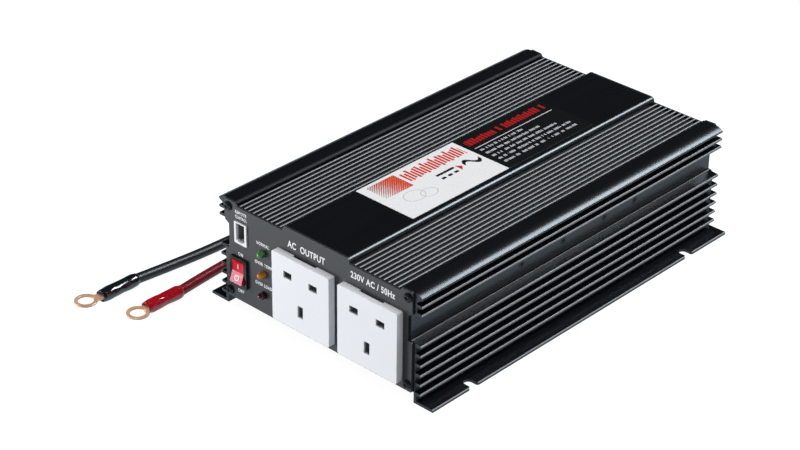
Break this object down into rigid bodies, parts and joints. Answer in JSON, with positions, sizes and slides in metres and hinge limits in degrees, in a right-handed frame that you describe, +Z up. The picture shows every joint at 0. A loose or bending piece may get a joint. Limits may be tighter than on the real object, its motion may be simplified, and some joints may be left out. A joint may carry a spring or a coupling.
{
  "type": "power inverter",
  "caption": "Finned black box that turns battery current into mains current, with square three pin outlets, a rocker switch and free battery leads.",
  "frame": {"origin": "middle of the case's footprint on the floor, without the leads", "axes": "+X to the right seen from the front, +Y to the back, +Z up; the front panel with the outlets faces -Y"},
  "size_m": [0.2483, 0.4525, 0.0802],
  "materials": {
    "cover_anodised": "satin black anodised, extrusion grain",
    "base_anodised": "satin black anodised, extrusion grain",
    "panel_grey": "fine dark grey paint",
    "black_steel": "black zinc",
    "outlet_white": "smooth white",
    "shutter_white": "white",
    "contact_brass": "bare",
    "bezel_black": "black",
    "rocker_red": "translucent red",
    "led_green": "tinted lens",
    "led_amber": "tinted lens",
    "led_red": "tinted lens",
    "board_green": "solder resist",
    "label_print": "printed film",
    "fan_black": "moulded",
    "coil_copper": "enamelled copper",
    "guard_steel": "plated wire",
    "bushing_rubber": "moulded",
    "earth_brass": "turned",
    "pad_grey": "silicone sheet",
    "epoxy_black": "moulded epoxy",
    "bar_steel": "plain",
    "ferrite": "sintered ferrite",
    "capacitor_can": "sleeved can",
    "fuse_blue": "translucent",
    "terminal_green": "moulded",
    "wire_pvc": "insulated wire",
    "lead_black_pvc": "smooth cable",
    "lead_red_pvc": "smooth cable",
    "sleeve_black": "heat shrink",
    "sleeve_red": "heat shrink",
    "ring_copper": "plated copper"
  },
  "bodies": {
    "housing": {"base_extrusion": "base_anodised", "blade_fuses": "fuse_blue", "board_terminals": "terminal_green", "bus_capacitor": "capacitor_can", "bushing_black": "bushing_rubber", "bushing_red": "bushing_rubber", "buzzer": "epoxy_black", "choke_core": "ferrite", "choke_winding": "coil_copper", "clamp_bar_left": "bar_steel", "clamp_bar_right": "bar_steel", "clamp_screws": "black_steel", "contacts_left": "contact_brass", "contacts_right": "contact_brass", "control_board": "board_green", "dc_tails": "wire_pvc", "earth_nut": "earth_brass", "earth_stud": "earth_brass", "fan_frame": "fan_black", "fan_guard": "guard_steel", "fan_screws": "black_steel", "fan_stator": "coil_copper", "front_panel": "panel_grey", "front_panel_screws": "black_steel", "fuse_holders": "epoxy_black", "indicator_board": "board_green", "input_capacitors": "capacitor_can", "insulator_pads": "pad_grey", "jack_contacts": "contact_brass", "lead_black": "lead_black_pvc", "lead_black_ring": "ring_copper", "lead_black_sleeve": "sleeve_black", "lead_red": "lead_red_pvc", "lead_red_ring": "ring_copper", "lead_red_sleeve": "sleeve_red", "led_normal": "led_green", "led_over_load": "led_red", "led_over_temp": "led_amber", "main_board": "board_green", "mains_wires": "wire_pvc", "outlet_left": "outlet_white", "outlet_right": "outlet_white", "rear_panel": "panel_grey", "rear_panel_screws": "black_steel", "remote_jack": "outlet_white", "switch_bezel": "bezel_black", "switch_tabs": "contact_brass", "top_cover": "cover_anodised", "top_label": "label_print", "transformer_coil_1": "coil_copper", "transformer_coil_2": "coil_copper", "transformer_core_1": "ferrite", "transformer_core_2": "ferrite", "transistors_left": "epoxy_black", "transistors_right": "epoxy_black"},
    "rocker": {"rocker": "rocker_red"},
    "fan": {"fan_rotor": "fan_black"},
    "left_gate": {"shutter_left": "shutter_white"},
    "right_gate": {"shutter_right": "shutter_white"}
  },
  "joints": [
    {"name": "rocker_pivot", "type": "hinge", "parent": "housing", "child": "rocker", "pos_m": [-0.0684, -0.152, 0.0295], "axis": [1, 0, 0], "range_deg": [0, 19.6]},
    {"name": "fan_spin", "type": "hinge", "parent": "housing", "child": "fan", "pos_m": [0.038, 0.138, 0.041], "axis": [0, 1, 0], "continuous": true},
    {"name": "left_shutter_slide", "type": "slide", "parent": "housing", "child": "left_gate", "axis": [0, 0, 1], "range_m": [0, 0.0054], "stiffness_N_per_m": 40, "springref_m": -0.005},
    {"name": "right_shutter_slide", "type": "slide", "parent": "housing", "child": "right_gate", "axis": [0, 0, 1], "range_m": [0, 0.0054], "stiffness_N_per_m": 40, "springref_m": -0.005}
  ]
}
